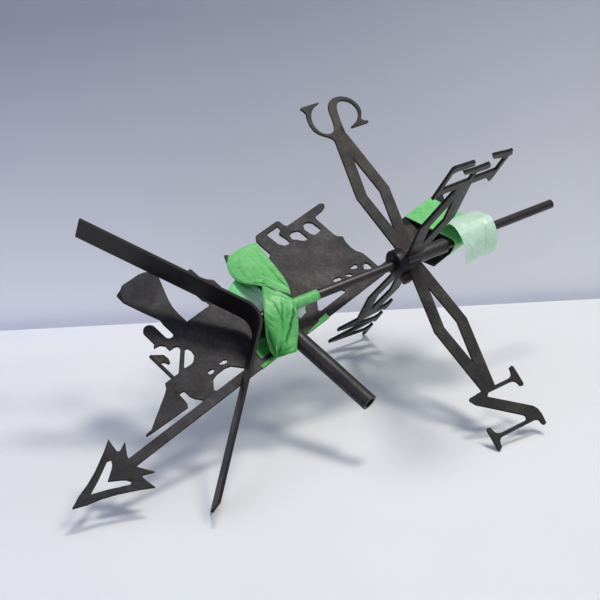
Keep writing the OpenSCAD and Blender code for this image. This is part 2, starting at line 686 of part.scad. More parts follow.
// The lashing behind the plate
module tape_back() {
    color(tape_green) on_vane() translate([0, 0, half_t + rub_gap]) linear_extrude(tape_t)
        outline([[-142, half_shaft], [-96, half_shaft], [-47.5, -123.5], [-66, -129], [-86, -131], [-93, -124]]);
}

// The turn of the lashing under the arrow's shaft
module tape_shaft_wrap() {
    color(tape_green) on_vane() translate([-162, half_shaft + rub_gap, -half_t - 1])
        cube([162 - tube_x - tube_r - 2, tape_t, plate_t + 2]);
}

// The torn ends of tape left on the plate's face, each side of the tube
module tape_left_end() {
    color(tape_green) on_vane() translate([0, 0, -half_t - rub_gap - tape_t]) linear_extrude(tape_t)
        outline([[-150, -20.3], [-144.6, -22.6], [-133, -22], [-132, -14], [-139, -3], [-154.8, -3], [-155.2, -8.3]]);
}

module tape_right_end() {
    color(tape_green) on_vane() translate([0, 0, -half_t - rub_gap - tape_t]) linear_extrude(tape_t)
        outline([[-74, 4.3], [-70, 1.2], [-57.2, 0.2], [-57.4, 6.2], [-91, 6.2], [-91, 5]]);
}

// The middle of the mast as height and depth on the plate, at x along the plate
function mast_at(x) = let (o = -vane_at, way = [along_mast * vane_x, vane_y[2], plate_m[2]],
    s = (x - o * vane_x) / vane_x[2]) [o * vane_y + s * vane_y[2], o * plate_m + s * plate_m[2]];

// The wrap round the fin and the mast: the tightest turn round both, grown by g
function turn_at(x, g, n) = [for (k = [0 : n - 1]) let (d = [cos(360 * k / n), sin(360 * k / n)],
    rod = mast_at(x) + (mast_r + rub_gap + g) * d,
    edge = [sign(d[0]) * fin_half, sign(d[1]) * half_t] + (rub_gap + g) * d,
    p = rod * d > edge * d ? rod : edge) [x, p[0], p[1]]];

module tape_tail_wrap() {
    n = 24;
    rings = [for (q = [[0, 0], [tape_w, 0], [tape_w, tape_t], [0, tape_t]]) turn_at(fin_wrap_x + q[0], q[1], n)];
    color(tape_green) on_vane() polyhedron([for (r = rings, p = r) p],
        [for (j = [0 : 3], k = [0 : n - 1]) let (a = j * n, b = (j + 1) % 4 * n, l = (k + 1) % n)
            each [[a + k, b + k, a + l], [a + l, b + k, b + l]]]);
}

// The loose end of the tail's tape, which curls over the mast and hangs
module tape_tail_flap() {
    base = flap_base;
    color(pale_tape) sheet(net([
        [[-6.3, -25.5, base], [-5.1, -25.5, base + tape_w / 2], [-4.3, -25.5, base + tape_w]],
        [[8, -24, base], [9, -24, base + tape_w / 2], [9, -23, base + tape_w]],
        [[19.5, -15, base], [20, -14.5, base + tape_w / 2], [20, -13, base + tape_w]],
        [[25, -5, base], [26.5, -4, base + tape_w / 2], [28.5, -4, base + tape_w]],
        [[24.5, 8, base], [25.5, 9, base + tape_w / 2], [25.5, 12, base + tape_w]],
        [[18.5, 21, base], [18, 20, base + tape_w / 2], [13.5, 24, base + tape_w]],
        [[3, 33, base], [0, 29, base + tape_w / 2], [-4, 29, base + tape_w]]], 2), tape_t / 2);
}

laid() roof_bracket();
laid() mast_rod();
laid() foot_weld_bead();
laid() hub_collar();
laid() hub_sleeve();
laid() arm_north();
laid() arm_south();
laid() arm_east();
laid() arm_west();
laid() arm_welds();
laid() set_screw();
laid() vane_plate();
laid() pivot_tube();
laid() pivot_cap();
laid() tube_welds();
laid() tape_mast_wrap();
laid() tape_front();
laid() tape_upper();
laid() tape_band();
laid() tape_back();
laid() tape_shaft_wrap();
laid() tape_left_end();
laid() tape_right_end();
laid() tape_tail_wrap();
laid() tape_tail_flap();
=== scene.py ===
"""A taken-down steel weathervane, lying on a pale table as one taped bundle.

Lengths on the object are written in millimetres in the frames of its two main parts, the hub on its
mast and the vane's plate, and turned to the model's metres by Axes.at. The studio is in metres.
"""

import logging
import math
from dataclasses import dataclass, field
from enum import Enum
from functools import cached_property
from typing import Sequence

import bmesh
import bpy
from mathutils import Matrix, Vector, noise


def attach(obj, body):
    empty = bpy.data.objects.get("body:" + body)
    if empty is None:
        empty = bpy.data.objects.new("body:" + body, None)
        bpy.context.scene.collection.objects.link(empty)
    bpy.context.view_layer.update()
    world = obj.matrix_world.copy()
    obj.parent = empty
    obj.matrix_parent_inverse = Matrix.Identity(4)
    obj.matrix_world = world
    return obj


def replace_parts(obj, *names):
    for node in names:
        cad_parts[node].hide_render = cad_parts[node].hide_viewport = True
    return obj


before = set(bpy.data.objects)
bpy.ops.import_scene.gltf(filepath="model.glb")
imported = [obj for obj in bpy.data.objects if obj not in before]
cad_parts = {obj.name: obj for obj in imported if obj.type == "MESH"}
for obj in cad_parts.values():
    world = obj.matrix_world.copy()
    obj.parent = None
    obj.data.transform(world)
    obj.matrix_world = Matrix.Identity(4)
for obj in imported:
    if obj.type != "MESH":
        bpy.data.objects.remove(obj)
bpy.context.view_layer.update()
# The noise that lets creases wander starts the same way on every run
noise.seed_set(1)
log = logging.getLogger("weathervane")
MM = 0.001

Point = tuple[float, float, float]
Tree, Socket, Material = bpy.types.NodeTree, bpy.types.NodeSocket, bpy.types.Material


# ---- places


@dataclass(frozen=True)
class Axes:
    """The place and directions of one main part of the bundle.

    Args:
        origin: the part's own origin in the model, in millimetres.
        x: direction of its first axis.
        y: direction of its second axis.
        z: direction of its third axis.
    """

    origin: Point
    x: Point
    y: Point
    z: Point

    def at(self, p: Sequence[float]) -> Vector:
        """Turn a place on the part, in millimetres, to the model's metres.

        Args:
            p: the three lengths along the part's axes.

        Returns:
            The same place in the model.
        """
        turned = Vector(self.x) * p[0] + Vector(self.y) * p[1] + Vector(self.z) * p[2]
        return (Vector(self.origin) + turned) * MM


# The mast's frame: x towards E, y towards N, z along the mast to its top
HUB = Axes(origin=(93.652, 56.977, 172.7234), x=(0.284118, -0.646273, 0.708243),
           y=(0.436564, -0.570468, -0.695685), z=(0.853633, 0.506850, 0.120059))
# The vane's frame: x to the arrow's tail, y to the tube's open end, z through the plate to its far side
VANE = Axes(origin=(33.3877, 39.0221, 145.6041), x=(0.712086, 0.642787, 0.282415),
            y=(0.688312, -0.559835, -0.461315), z=(-0.138422, 0.522886, -0.841088))
# In millimetres: the bracket's crown along the mast, the mast's radius, half the thickness of a plate,
# and how far tape stands off what it lies on
CROWN = -207.0
MAST_R = 5.55
HALF_PLATE = 1.6
STAND_OFF = 0.3
# The corners of the tail's turn of tape, kept by share of its width
RINGS: dict[float, list[Vector]] = {}


# ---- materials


def linear(hex_colour: str) -> tuple[float, float, float, float]:
    """Turn an sRGB hex colour to the linear values that a shader takes.

    Args:
        hex_colour: six hex digits after a hash.

    Returns:
        Linear red, green, blue and an alpha of one.
    """
    parts = [int(hex_colour[i:i + 2], 16) / 255 for i in (1, 3, 5)]
    return (*[c / 12.92 if c <= 0.04045 else ((c + 0.055) / 1.055) ** 2.4 for c in parts], 1.0)


def add_node(tree: Tree, kind: str, inputs: dict | None = None, **settings: object) -> bpy.types.Node:
    """Add a node, with its settings and what goes into its sockets.

    Args:
        tree: the material's node tree.
        kind: the node's type.
        inputs: socket name or number to a value, or to the socket that feeds it.
        settings: the node's own properties.

    Returns:
        The new node.
    """
    node = tree.nodes.new(kind)
    for name, value in settings.items():
        setattr(node, name, value)
    for name, value in (inputs or {}).items():
        if isinstance(value, Socket):
            tree.links.new(value, node.inputs[name])
        else:
            node.inputs[name].default_value = value
    return node


def ramp(tree: Tree, source: Socket, stops: Sequence[tuple[float, object]]) -> Socket:
    """Add a colour ramp.

    Args:
        tree: the material's node tree.
        source: what is looked up.
        stops: position and colour or grey level of each stop.

    Returns:
        The ramp's colour socket.
    """
    node = add_node(tree, "ShaderNodeValToRGB", {"Fac": source})
    marks = node.color_ramp.elements
    while len(marks) < len(stops):
        marks.new(0.5)
    for mark, (place, level) in zip(marks, stops):
        mark.position = place
        mark.color = linear(level) if isinstance(level, str) else (level, level, level, 1.0)
    return node.outputs["Color"]


def mixed(tree: Tree, factor: object, a: object, b: object, blend: str = "MIX") -> Socket:
    """Mix two colours.

    Args:
        tree: the material's node tree.
        factor: amount of the second colour, or the socket that gives it.
        a: first colour or socket.
        b: second colour or socket.
        blend: how the second is laid on the first.

    Returns:
        The mixed colour's socket.
    """
    node = add_node(tree, "ShaderNodeMix", data_type="RGBA", blend_type=blend)
    for name, value in (("Factor_Float", factor), ("A_Color", a), ("B_Color", b)):
        socket = next(s for s in node.inputs if s.identifier == name)
        if isinstance(value, Socket):
            tree.links.new(value, socket)
        else:
            socket.default_value = value
    return next(s for s in node.outputs if s.identifier == "Result_Color")


def start_material(name: str, **constants: object) -> tuple[Material, Tree, bpy.types.Node]:
    """Start a material with one Principled shader, whose constant values are set on its own sockets.

    Args:
        name: the material's name.
        constants: socket name, with underscores for spaces, to value.

    Returns:
        The material, its node tree and its shader node.
    """
    material = bpy.data.materials.new(name)
    material.use_nodes = True
    tree = material.node_tree
    shader = next(n for n in tree.nodes if n.type == "BSDF_PRINCIPLED")
    for socket, value in constants.items():
        shader.inputs[socket.replace("_", " ")].default_value = value
    return material, tree, shader


def grain(tree: Tree, where: Socket, size_mm: float, detail: float, roughness: float,
          stretch: Point = (1.0, 1.0, 1.0), turn: Point = (0.0, 0.0, 0.0)) -> Socket:
    """Add a noise whose grains are about one real size across.

    Args:
        tree: the material's node tree.
        where: coordinates in metres.
        size_mm: size of a grain.
        detail: octaves.
        roughness: weight of the finer octaves.
        stretch: factors on the three axes, below one where the grain is longer.
        turn: turn of the pattern, in radians.

    Returns:
        The noise's value, from 0 to 1.
    """
    placed = add_node(tree, "ShaderNodeMapping", {"Vector": where, "Rotation": turn, "Scale": stretch})
    noisy = add_node(tree, "ShaderNodeTexNoise", {"Vector": placed.outputs[0], "Scale": 1 / (size_mm * MM),
                                                 "Detail": detail, "Roughness": roughness})
    return noisy.outputs["Fac"]


def bumped(tree: Tree, height: Socket, depth_mm: float, strength: float,
           under: Socket | None = None) -> Socket:
    """Add a bump of a real depth.

    Args:
        tree: the material's node tree.
        height: the pattern, from 0 to 1.
        depth_mm: real depth between its low and high places.
        strength: share of it that shows.
        under: the normal that it is laid on.

    Returns:
        The new normal.
    """
    inputs = {"Height": height, "Distance": depth_mm * MM, "Strength": strength}
    if under is not None:
        inputs["Normal"] = under
    return add_node(tree, "ShaderNodeBump", inputs).outputs["Normal"]


def facing(tree: Tree, direction: Point) -> Socket:
    """Add a value that says how squarely the surface faces along a direction, either way.

    Args:
        tree: the material's node tree.
        direction: the direction, of length one.

    Returns:
        The value, from 0 to 1.
    """
    normal = add_node(tree, "ShaderNodeTexCoord").outputs["Normal"]
    along = add_node(tree, "ShaderNodeVectorMath", {0: normal, 1: direction}, operation="DOT_PRODUCT")
    return add_node(tree, "ShaderNodeMath", {0: along.outputs["Value"]}, operation="ABSOLUTE").outputs[0]


@dataclass(frozen=True)
class MillScalePlate:
    """Hot-rolled sheet, plasma cut: dull dark oxide, brown patches, and darker edges with drag lines.

    Args:
        name: the material's name.
        face: direction straight through the plate.
        scale_colours: the oxide's darkest, usual and lightest tones.
        rust: the tone of the brown patches.
        edge: the tone of the cut edges.
        line: the tone of the drag lines on them.
        smoke: the tone round a weld.
        soot: a weld's place and how far its smoke reaches, in metres, where there is one.
        rust_amount: share of the rust tone in a patch.
    """

    name: str
    face: Point
    scale_colours: tuple[str, str, str] = ("#161615", "#252523", "#393935")
    rust: str = "#3f362c"
    edge: str = "#131111"
    line: str = "#2f2925"
    smoke: str = "#221a1a"
    soot: tuple[Point, float] | None = None
    rust_amount: float = 0.55

    def material(self) -> Material:
        """Build the plate's material."""
        # A thin oxide keeps the sheen of steel but little of its mirror: a third metallic, dull and rough
        material, tree, shader = start_material(self.name, Metallic=0.32, Specular_IOR_Level=0.3)
        where = add_node(tree, "ShaderNodeTexCoord").outputs["Object"]
        # Clouds of oxide 30 mm across, flakes of 4 mm, and a fine grit drawn at 0.9 mm so that it shows
        cloud = grain(tree, where, 30, 4, 0.6)
        flake = grain(tree, where, 4, 5, 0.65)
        grit = grain(tree, where, 0.9, 2, 0.5)
        tone = mixed(tree, 0.45, cloud, flake)
        scale = ramp(tree, tone, tuple(zip((0.36, 0.5, 0.66), self.scale_colours)))
        rusty = grain(tree, where, 22, 5, 0.7, turn=(0.4, 0.9, 0.2))
        patches = ramp(tree, rusty, ((0.52, 0.0), (0.72, self.rust_amount)))
        face = mixed(tree, patches, scale, linear(self.rust))
        specks = ramp(tree, grit, ((0.62, 0.0), (0.74, 0.35)))
        face = mixed(tree, specks, face, linear(self.scale_colours[2]))
        if self.soot is not None:
            # The smoke of a weld leaves the oxide round it dark and brownish
            weld, reach = self.soot
            away = add_node(tree, "ShaderNodeVectorMath", {0: where, 1: weld}, operation="DISTANCE")
            away = away.outputs["Value"]
            share = add_node(tree, "ShaderNodeMath", {0: away, 1: reach}, operation="DIVIDE").outputs[0]
            near = ramp(tree, mixed(tree, 0.25, share, flake), ((0.35, 0.85), (0.8, 0.0)))
            face = mixed(tree, near, face, linear(self.smoke))
        # Drag lines of the cutting jet, about 1.2 mm apart along the edge
        drag = ramp(tree, grain(tree, where, 1.2, 2, 0.5), ((0.35, 0.0), (0.7, 0.5)))
        side = mixed(tree, drag, linear(self.edge), linear(self.line))
        on_face = ramp(tree, facing(tree, self.face), ((0.55, 0.0), (0.9, 1.0)))
        tree.links.new(mixed(tree, on_face, side, face), shader.inputs["Base Color"])
        rough = ramp(tree, tone, ((0.3, 0.55), (0.7, 0.42)))
        tree.links.new(mixed(tree, on_face, (0.7, 0.7, 0.7, 1.0), rough), shader.inputs["Roughness"])
        normal = bumped(tree, flake, 0.25, 0.35)
        tree.links.new(bumped(tree, grit, 0.12, 0.35, normal), shader.inputs["Normal"])
        return material


@dataclass(frozen=True)
class DarkSteel:
    """Rolled, drawn or turned steel under a dark oxide, with a soft sheen and faint wear.

    Args:
        name: the material's name.
        dark: tone of the oxide.
        light: tone where it is rubbed.
        rust: tone of its brown bloom.
        rust_amount: how much of the bloom shows.
        rough: roughness of the oxide and of the rubbed places.
        metallic: how metallic it is.
        mirror: share of the usual mirror light, below a half where soot dulls it.
        grain_mm: size of its grain.
        sheared: the direction that its sheared edges face and their tone, where it has such edges.
    """

    name: str
    dark: str
    light: str
    rust: str
    rust_amount: float = 0.3
    rough: tuple[float, float] = (0.5, 0.35)
    metallic: float = 0.5
    mirror: float = 0.4
    grain_mm: float = 2.5
    sheared: tuple[Point, str] | None = None

    def material(self) -> Material:
        """Build the steel's material."""
        material, tree, shader = start_material(
            self.name, Metallic=self.metallic, Specular_IOR_Level=self.mirror)
        where = add_node(tree, "ShaderNodeTexCoord").outputs["Object"]
        # Clouds of oxide 24 mm across under a finer grain, lighter where it is rubbed, with a brown bloom
        cloud = grain(tree, where, 24, 4, 0.6)
        fine = grain(tree, where, self.grain_mm, 4, 0.6)
        tone = mixed(tree, 0.5, cloud, fine)
        base = ramp(tree, tone, ((0.38, self.dark), (0.66, self.light)))
        rusty = grain(tree, where, 14, 5, 0.7, turn=(0.7, 0.1, 0.5))
        bloom = ramp(tree, rusty, ((0.5, 0.0), (0.75, self.rust_amount)))
        base = mixed(tree, bloom, base, linear(self.rust))
        if self.sheared is not None:
            way, edge = self.sheared
            on_edge = ramp(tree, facing(tree, way), ((0.6, 0.0), (0.9, 0.9)))
            base = mixed(tree, on_edge, base, linear(edge))
        tree.links.new(base, shader.inputs["Base Color"])
        rough = ramp(tree, tone, tuple(zip((0.35, 0.65), self.rough)))
        tree.links.new(rough, shader.inputs["Roughness"])
        tree.links.new(bumped(tree, fine, 0.12, 0.3), shader.inputs["Normal"])
        return material


@dataclass(frozen=True)
class CrepeTape:
    """Creped masking paper: green, slightly waxy, with fine wrinkles across the strip.

    Args:
        name: the material's name.
        shade: tone in the wrinkles and folds.
        paper: usual tone.
        light: tone of the crests, also laid on them as a painted highlight.
        deep: the tone that more plies of tape, and painted shade, multiply into the paper.
        through: how far light goes into the paper.
        rough: roughness of the paper.
        wax: how much of a clear shine lies on it.
    """

    name: str
    shade: str
    paper: str
    light: str
    deep: str = "#88ca90"
    through: float = 0.25
    rough: float = 0.5
    wax: float = 0.1

    def material(self) -> Material:
        """Build the tape's material, which reads the strip's own UV map in metres and its folds."""
        material, tree, shader = start_material(
            self.name, Subsurface_Weight=self.through, Subsurface_Radius=(0.6, 1.0, 0.6),
            Subsurface_Scale=1.2 * MM, Roughness=self.rough, IOR=1.45, Coat_Weight=self.wax,
            Coat_Roughness=0.18)
        strip = add_node(tree, "ShaderNodeUVMap", uv_map="strip").outputs["UV"]
        where = add_node(tree, "ShaderNodeTexCoord").outputs["Object"]
        # Crepe wrinkles lie across the strip, 0.5 mm apart and 5 mm long, drawn at 0.9 mm so that they show
        crepe = grain(tree, strip, 0.9, 3, 0.6, stretch=(0.18, 1.0, 1.0))
        blotch = grain(tree, where, 11, 4, 0.55)
        tone = mixed(tree, 0.6, blotch, crepe)
        base = ramp(tree, tone, ((0.28, self.shade), (0.5, self.paper), (0.74, self.light)))
        # Where the strip says so the green is deeper: partly more plies of tape, which let less light back,
        # and partly painted shade
        layers = add_node(tree, "ShaderNodeAttribute", attribute_name="layers").outputs["Fac"]
        base = mixed(tree, layers, base, mixed(tree, 1.0, base, linear(self.deep), "MULTIPLY"))
        # Painted shade in the furrows and a painted highlight on the crests, read from the strip's fold
        # values
        fold = add_node(tree, "ShaderNodeAttribute", attribute_name="fold").outputs["Fac"]
        furrow = ramp(tree, fold, ((0.0, "#3f7f4c"), (0.2, "#8fbb93"), (0.43, "#ffffff")))
        crest = ramp(tree, fold, ((0.58, 0.0), (0.95, 0.55)))
        base = mixed(tree, crest, mixed(tree, 1.0, base, furrow, "MULTIPLY"), linear(self.light))
        tree.links.new(base, shader.inputs["Base Color"])
        normal = bumped(tree, crepe, 0.2, 0.35)
        tree.links.new(bumped(tree, blotch, 0.8, 0.25, normal), shader.inputs["Normal"])
        return material


@dataclass(frozen=True)
class PaintedLightPlain:
    """A pale surface of the studio, whose tone changes softly from corner to corner: painted light and
    shade for how the lamps fall on it.

    Args:
        name: the material's name.
        left: tones at the left, at the near or lower edge and at the far or upper one.
        right: tones at the right, the same way.
        axis: which axis leads from the first tone to the second.
        span: where that change starts and ends, in metres.
        across: where the change from left to right starts and ends, in metres.
        open_back: whether it is clear from behind, so that it never hides the object.
    """

    name: str
    left: tuple[str, str]
    right: tuple[str, str]
    axis: int
    span: tuple[float, float]
    across: tuple[float, float] = (-0.45, 0.45)
    open_back: bool = False

    def material(self) -> Material:
        """Build the surface's material."""
        material, tree, shader = start_material(self.name, Roughness=0.9)
        where = add_node(tree, "ShaderNodeTexCoord").outputs["Object"]
        apart = add_node(tree, "ShaderNodeSeparateXYZ", {0: where})
        along, across = [
            add_node(tree, "ShaderNodeMapRange",
                     {"Value": apart.outputs[axis], "From Min": start, "From Max": end}).outputs[0]
            for axis, (start, end) in ((self.axis, self.span), (0, self.across))]
        sides = [mixed(tree, along, linear(low), linear(high)) for low, high in (self.left, self.right)]
        # Faint clouds 300 mm across keep so plain a surface from looking drawn
        mottle = ramp(tree, grain(tree, where, 300, 2, 0.5), ((0.3, 0.96), (0.7, 1.0)))
        tone = mixed(tree, 1.0, mixed(tree, across, *sides), mottle, "MULTIPLY")
        tree.links.new(tone, shader.inputs["Base Color"])
        if self.open_back:
            behind = add_node(tree, "ShaderNodeNewGeometry").outputs["Backfacing"]
            clear = add_node(tree, "ShaderNodeBsdfTransparent").outputs[0]
            shown = add_node(tree, "ShaderNodeMixShader", {0: behind, 1: shader.outputs[0], 2: clear})
            output = next(n for n in tree.nodes if n.type == "OUTPUT_MATERIAL")
            tree.links.new(shown.outputs[0], output.inputs["Surface"])
        return material


# ---- mesh work


def finish_mesh(mesh: bmesh.types.BMesh, name: str, material: Material) -> bpy.types.Object:
    """Turn a finished bmesh to a smoothly shaded object at the origin.

    Args:
        mesh: the bmesh, in metres; it is freed.
        name: the object's name.
        material: its finish.

    Returns:
        The new object.
    """
    for face in mesh.faces:
        face.smooth = True
    data = bpy.data.meshes.new(name)
    mesh.to_mesh(data)
    mesh.free()
    data.materials.append(material)
    piece = bpy.data.objects.new(name, data)
    bpy.context.scene.collection.objects.link(piece)
    return piece


def spline(points: Sequence[Vector], s: float) -> Vector:
    """Find a place on a smooth curve through points.

    Args:
        points: the points that the curve goes through.
        s: the place, from 0 at the first point to 1 at the last.

    Returns:
        The place.
    """
    t = min(max(s, 0.0), 1.0) * (len(points) - 1)
    i = min(int(t), len(points) - 2)
    t -= i
    a, b = points[max(i - 1, 0)], points[i]
    c, d = points[i + 1], points[min(i + 2, len(points) - 1)]
    return b + ((c - a) / 2 + (a - 2.5 * b + 2 * c - d / 2 + (1.5 * b - 1.5 * c + (d - a) / 2) * t) * t) * t


@dataclass(frozen=True)
class Crease:
    """A ridge or furrow across a strip of tape, or the edge of one more layer.

    Args:
        start: its first end, as shares of the strip's width and length.
        end: its other end.
        height: how far it stands out, in millimetres; below zero for a furrow.
        width: its half-width, in millimetres.
        layer: whether only the side to the left of the line, seen from its first end, is raised.
    """

    start: tuple[float, float]
    end: tuple[float, float]
    height: float
    width: float
    layer: bool = False

    def lift(self, u: float, v: float, wide: float, long: float) -> float:
        """Find how far the crease lifts the strip at one place.

        Args:
            u: share of the width.
            v: share of the length.
            wide: the strip's width in millimetres.
            long: its length in millimetres.

        Returns:
            The lift in millimetres.
        """
        a = Vector((self.start[0] * wide, self.start[1] * long))
        b = Vector((self.end[0] * wide, self.end[1] * long))
        way = b - a
        off = Vector((u * wide, v * long)) - a
        along = off.dot(way) / way.length_squared
        s = min(max(along, 0.0), 1.0)
        apart = (off - way * s).length / self.width
        if self.layer and (way.x * off.y - way.y * off.x > 0 or not 0 < along < 1):
            return 0.0
        # Its sides are slightly hollow, and it is lower towards its ends
        return self.height * max(0.0, 1 - apart) ** 1.2 * (0.3 + 0.7 * math.sin(math.pi * s))


def creases(*rows: tuple[float, ...]) -> list[Crease]:
    """Make creases from rows of values.

    Args:
        rows: both values of a crease's start and of its end, its height and its width, and a one where it
            is the edge of a layer.

    Returns:
        The creases.
    """
    return [Crease(row[:2], row[2:4], row[4], row[5], len(row) > 6) for row in rows]


# In millimetres: the paper's coarse waves, its fine ones across and along, how far a crease wanders and
# over what length, the rim over which a puffed strip comes down, and the reach and teeth of a torn end
WAVE = 9.0
FINE_WAVE = (3.2, 4.0)
WANDER, WANDER_WAVE = 1.3, 6.0
RIM = 4.0
TORN_REACH, TORN_TEETH = 8.0, 4.0


@dataclass
class TapeStrip:
    """One strip of tape as a curved sheet through rows of points.

    Args:
        name: the piece's name.
        axes: the frame of its points.
        rows: its points in millimetres, row by row from the top as the photographer sees it.
        creases: its ridges and furrows.
        crumple: size of its small unevenness, in millimetres.
        puff: how far its middle stands off, in millimetres.
        thick: thickness of the paper.
        ragged: depth of the torn ends, in millimetres, at the top and at the bottom.
        cells: cells across and along.
        seed: where its unevenness is read from the noise.
        notches: tears in its bottom end, as share of the width, half-width and depth.
        closed: whether its two ends meet.
        layers: how much deeper its green is at the top and at the bottom, from 0 to 1, partly for more
            plies of tape and partly as painted shade.
        slot: a material slot's name; not used.
        rests_on: what it lies on; not used.
    """

    name: str
    axes: Axes
    rows: list[list[Point]] = field(default_factory=list)
    creases: list[Crease] = field(default_factory=list)
    crumple: float = 0.5
    puff: float = 0.0
    thick: float = 0.3
    ragged: tuple[float, float] = (0.0, 0.0)
    cells: tuple[int, int] = (56, 72)
    seed: float = 0.0
    notches: tuple[Point, ...] = ()
    closed: bool = False
    layers: tuple[float, float] = (0.0, 0.0)
    slot: str = "tape_paper"
    rests_on: tuple[str, ...] = ("vane_plate", "mast_rod")

    def place(self, u: float, v: float) -> Vector:
        """Find the place on the smooth sheet at shares of its width and length, in millimetres."""
        return spline([spline([Vector(p) for p in row], u) for row in self.rows], v)

    @cached_property
    def size(self) -> tuple[float, float]:
        """Measure the strip's mean width and length in millimetres."""
        steps = [i / 12 for i in range(13)]
        pairs = list(zip(steps, steps[1:]))
        wide = sum((self.place(b, v) - self.place(a, v)).length for a, b in pairs for v in steps)
        long = sum((self.place(u, b) - self.place(u, a)).length for a, b in pairs for u in steps)
        return wide / len(steps), long / len(steps)

    def tear(self, u: float, v: float) -> float:
        """Move a place near the strip's ends along it, so that they look torn.

        Args:
            u: share of the width.
            v: share of the length.

        Returns:
            The new share of the length.
        """
        wide, long = self.size
        for end, deep in enumerate(self.ragged):
            share = max(0.0, 1 - (1 - v if end else v) * long / TORN_REACH)
            rough = abs(noise.noise(Vector((u * wide / TORN_TEETH, self.seed + 7.0 * end, 0.0)))) * deep
            notch = sum(n[2] * max(0.0, 1 - abs(u - n[0]) / n[1]) for n in self.notches) if end else 0.0
            v += share * (rough + notch) / long * (-1 if end else 1)
        return v

    def relief(self, u: float, v: float) -> tuple[float, float]:
        """Find how far the paper stands off the smooth sheet at one place.

        Args:
            u: share of the width.
            v: share of the length.

        Returns:
            The lift in millimetres, and a value from 0 in a furrow to 1 on a crest, which the tape's
            material turns to painted shade and highlight.
        """
        wide, long = self.size
        x, y = u * wide, v * long
        rough = noise.noise(Vector((x / WAVE, y / WAVE, self.seed))) * 0.65
        rough += noise.noise(Vector((x / FINE_WAVE[0], y / FINE_WAVE[1], self.seed + 5))) * 0.35
        sway = noise.noise_vector(Vector((x / WANDER_WAVE, y / WANDER_WAVE, self.seed + 9)))
        near = u + WANDER * sway.x / wide, v + WANDER * sway.y / long
        folded = sum(crease.lift(*near, wide, long) for crease in self.creases)
        rim = min(x, (1 - u) * wide, y, (1 - v) * long, RIM) / RIM
        lift = self.crumple * (0.6 + rough) + folded + self.puff * rim
        crest = 0.5 + folded / 4 + self.crumple * rough / 2.5
        return max(lift, 0.02), min(max(crest, 0.0), 1.0)

    def build(self, material: Material, inner: Material | None = None) -> bpy.types.Object:
        """Build the strip.

        Args:
            material: the tape's finish.
            inner: the finish of its sticky side, where that shows.

        Returns:
            The finished piece.
        """
        wide, long = self.size
        mesh = bmesh.new()
        bmesh.ops.create_grid(mesh, x_segments=self.cells[0], y_segments=self.cells[1], size=0.5)
        strip = mesh.loops.layers.uv.new("strip")
        fold = mesh.verts.layers.float.new("fold")
        deeper = mesh.verts.layers.float.new("layers")
        # Each corner is lifted along the sheet's own outward direction, found from places a step away
        step = 0.004
        still = self.axes.at((0, 0, 0))
        shares, outs = {}, {}
        for vert in mesh.verts:
            u, v = vert.co.x + 0.5, 0.5 - vert.co.y
            shares[vert] = (u, v)
            v = self.tear(u, v)
            here = self.place(u, v)
            across = self.place(min(u + step, 1), v) - self.place(max(u - step, 0), v)
            down = self.place(u, min(v + step, 1)) - self.place(u, max(v - step, 0))
            out = down.cross(across).normalized()
            outs[vert] = self.axes.at(out) - still
            # The second value paints shade into the furrows and a highlight onto the crests
            lift, vert[fold] = self.relief(u, v)
            # Painted shade together with more plies of tape: the green deepens from one end of the strip to
            # the other
            vert[deeper] = self.layers[0] + (self.layers[1] - self.layers[0]) * v
            vert.co = self.axes.at(here + out * lift)
        for face in mesh.faces:
            for loop in face.loops:
                u, v = shares[loop.vert]
                loop[strip].uv = (u * wide * MM, v * long * MM)
        mesh.normal_update()
        if sum(face.normal.dot(outs[face.verts[0]]) for face in mesh.faces) < 0:
            bmesh.ops.reverse_faces(mesh, faces=mesh.faces)
        if self.closed:
            bmesh.ops.remove_doubles(mesh, verts=mesh.verts, dist=0.02 * MM)
        piece = finish_mesh(mesh, self.name, material)
        paper = piece.modifiers.new("paper", "SOLIDIFY")
        paper.thickness = self.thick * MM
        paper.offset = 1.0
        if inner is not None:
            piece.data.materials.append(inner)
            paper.material_offset = 1
        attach(piece, "bundle")
        # A torn or slanting strip was cut smaller than its box, and creases don't make it larger
        log.info("built %s, %.0f by %.0f mm", self.name, wide, long)
        return piece


@dataclass
class RodWrap(TapeStrip):
    """A turn of tape round the mast.

    Args:
        radius: the turn's inner radius in millimetres.
        start: where it starts along the mast.
        width: its width along the mast.
    """

    radius: float = MAST_R + STAND_OFF
    start: float = 0.0
    width: float = 40.0

    def place(self, u: float, v: float) -> Vector:
        """Find a place on the turn."""
        angle = 2 * math.pi * v
        x, y = self.radius * math.cos(angle), self.radius * math.sin(angle)
        return Vector((x, y, self.start + self.width * u))


